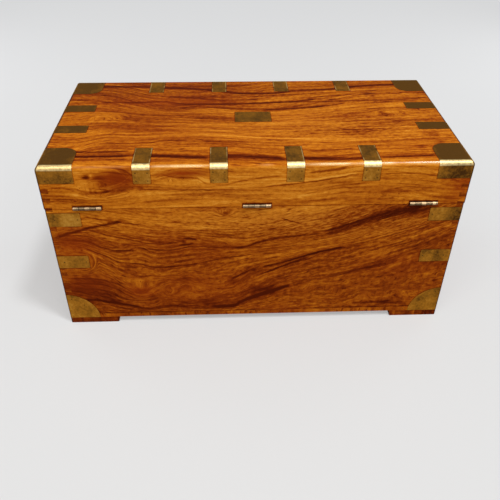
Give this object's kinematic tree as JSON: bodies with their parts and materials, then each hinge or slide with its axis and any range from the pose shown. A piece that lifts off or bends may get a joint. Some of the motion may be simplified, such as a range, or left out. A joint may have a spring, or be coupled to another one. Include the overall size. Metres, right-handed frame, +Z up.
{
  "type": "campaign chest",
  "caption": "Brass-bound wooden travelling chest with a hinged lift-up lid, inlaid corner mounts and straps, drop handles and a box lock.",
  "frame": {"origin": "middle of the footprint, on the floor, with the chest closed", "axes": "+X along the chest, +Y towards its back, where the hinges are, +Z up"},
  "size_m": [1.001, 0.5092, 0.4633],
  "materials": {
    "camphor_wood": "french polished",
    "inlaid_brass": "aged, worn bright at the edges",
    "brass_pin": "dark",
    "hinge_brass": "polished by use",
    "screw_brass": "aged",
    "handle_brass": "polished by use",
    "lock_steel": "dull"
  },
  "bodies": {
    "carcase": {"back_board": "camphor_wood", "front_board": "camphor_wood", "left_end_board": "camphor_wood", "right_end_board": "camphor_wood", "bottom_board": "camphor_wood", "foot_back_left": "camphor_wood", "foot_back_right": "camphor_wood", "foot_front_left": "camphor_wood", "foot_front_right": "camphor_wood", "upper_corner_strap_back_left": "inlaid_brass", "upper_corner_strap_back_right": "inlaid_brass", "upper_corner_strap_front_left": "inlaid_brass", "upper_corner_strap_front_right": "inlaid_brass", "middle_corner_strap_back_left": "inlaid_brass", "middle_corner_strap_back_right": "inlaid_brass", "middle_corner_strap_front_left": "inlaid_brass", "middle_corner_strap_front_right": "inlaid_brass", "base_corner_back_left": "inlaid_brass", "base_corner_back_right": "inlaid_brass", "base_corner_front_left": "inlaid_brass", "base_corner_front_right": "inlaid_brass", "escutcheon": "inlaid_brass", "chest_pins": "brass_pin", "hinge_left_chest_leaf": "hinge_brass", "hinge_middle_chest_leaf": "hinge_brass", "hinge_right_chest_leaf": "hinge_brass", "hinge_pins": "hinge_brass", "chest_screws": "screw_brass", "stay_studs": "hinge_brass", "lock_case": "lock_steel", "handle_left_plate": "handle_brass", "handle_right_plate": "handle_brass"},
    "lid": {"lid_back_rail": "camphor_wood", "lid_front_rail": "camphor_wood", "lid_left_rail": "camphor_wood", "lid_right_rail": "camphor_wood", "lid_top_board": "camphor_wood", "back_straps": "inlaid_brass", "front_straps": "inlaid_brass", "left_straps": "inlaid_brass", "right_straps": "inlaid_brass", "lid_corner_back_left": "inlaid_brass", "lid_corner_back_right": "inlaid_brass", "lid_corner_front_left": "inlaid_brass", "lid_corner_front_right": "inlaid_brass", "name_plate": "inlaid_brass", "lid_pins": "brass_pin", "hinge_left_lid_leaf": "hinge_brass", "hinge_middle_lid_leaf": "hinge_brass", "hinge_right_lid_leaf": "hinge_brass", "lid_screws": "screw_brass", "stay_pivots": "hinge_brass", "lock_link_plate": "lock_steel"},
    "stay_left": {"stay_left_bar": "hinge_brass"},
    "stay_right": {"stay_right_bar": "hinge_brass"},
    "handle_left": {"handle_left_bail": "handle_brass"},
    "handle_right": {"handle_right_bail": "handle_brass"},
    "lock_bolt": {"lock_bolt": "lock_steel"},
    "key": {"key": "lock_steel"}
  },
  "joints": [
    {"name": "lid_hinge", "type": "hinge", "parent": "carcase", "child": "lid", "pos_m": [0, 0.2458, 0.3566], "axis": [-1, 0, 0], "range_deg": [0, 100]},
    {"name": "stay_left_pivot", "type": "hinge", "parent": "lid", "child": "stay_left", "pos_m": [-0.46205, 0.0979, 0.3816], "axis": [-1, 0, 0], "range_deg": [-50, 0]},
    {"name": "stay_right_pivot", "type": "hinge", "parent": "lid", "child": "stay_right", "pos_m": [0.46205, 0.0979, 0.3816], "axis": [-1, 0, 0], "range_deg": [-50, 0]},
    {"name": "handle_left_swing", "type": "hinge", "parent": "carcase", "child": "handle_left", "pos_m": [-0.494, 0, 0.232], "axis": [0, 1, 0], "range_deg": [0, 180]},
    {"name": "handle_right_swing", "type": "hinge", "parent": "carcase", "child": "handle_right", "pos_m": [0.494, 0, 0.232], "axis": [0, -1, 0], "range_deg": [0, 180]},
    {"name": "key_turn", "type": "hinge", "parent": "carcase", "child": "key", "pos_m": [0, -0.232, 0.3236], "axis": [0, 1, 0], "range_deg": [0, 180]},
    {"name": "bolt_slide", "type": "slide", "parent": "carcase", "child": "lock_bolt", "axis": [1, 0, 0], "range_m": [0, 0.007]}
  ],
  "couplings": [
    {"joint": "stay_left_pivot", "follows": "lid_hinge", "ratio": -0.5},
    {"joint": "stay_right_pivot", "follows": "lid_hinge", "ratio": -0.5},
    {"joint": "key_turn", "follows": "bolt_slide", "rad_per_m": 448.79}
  ]
}
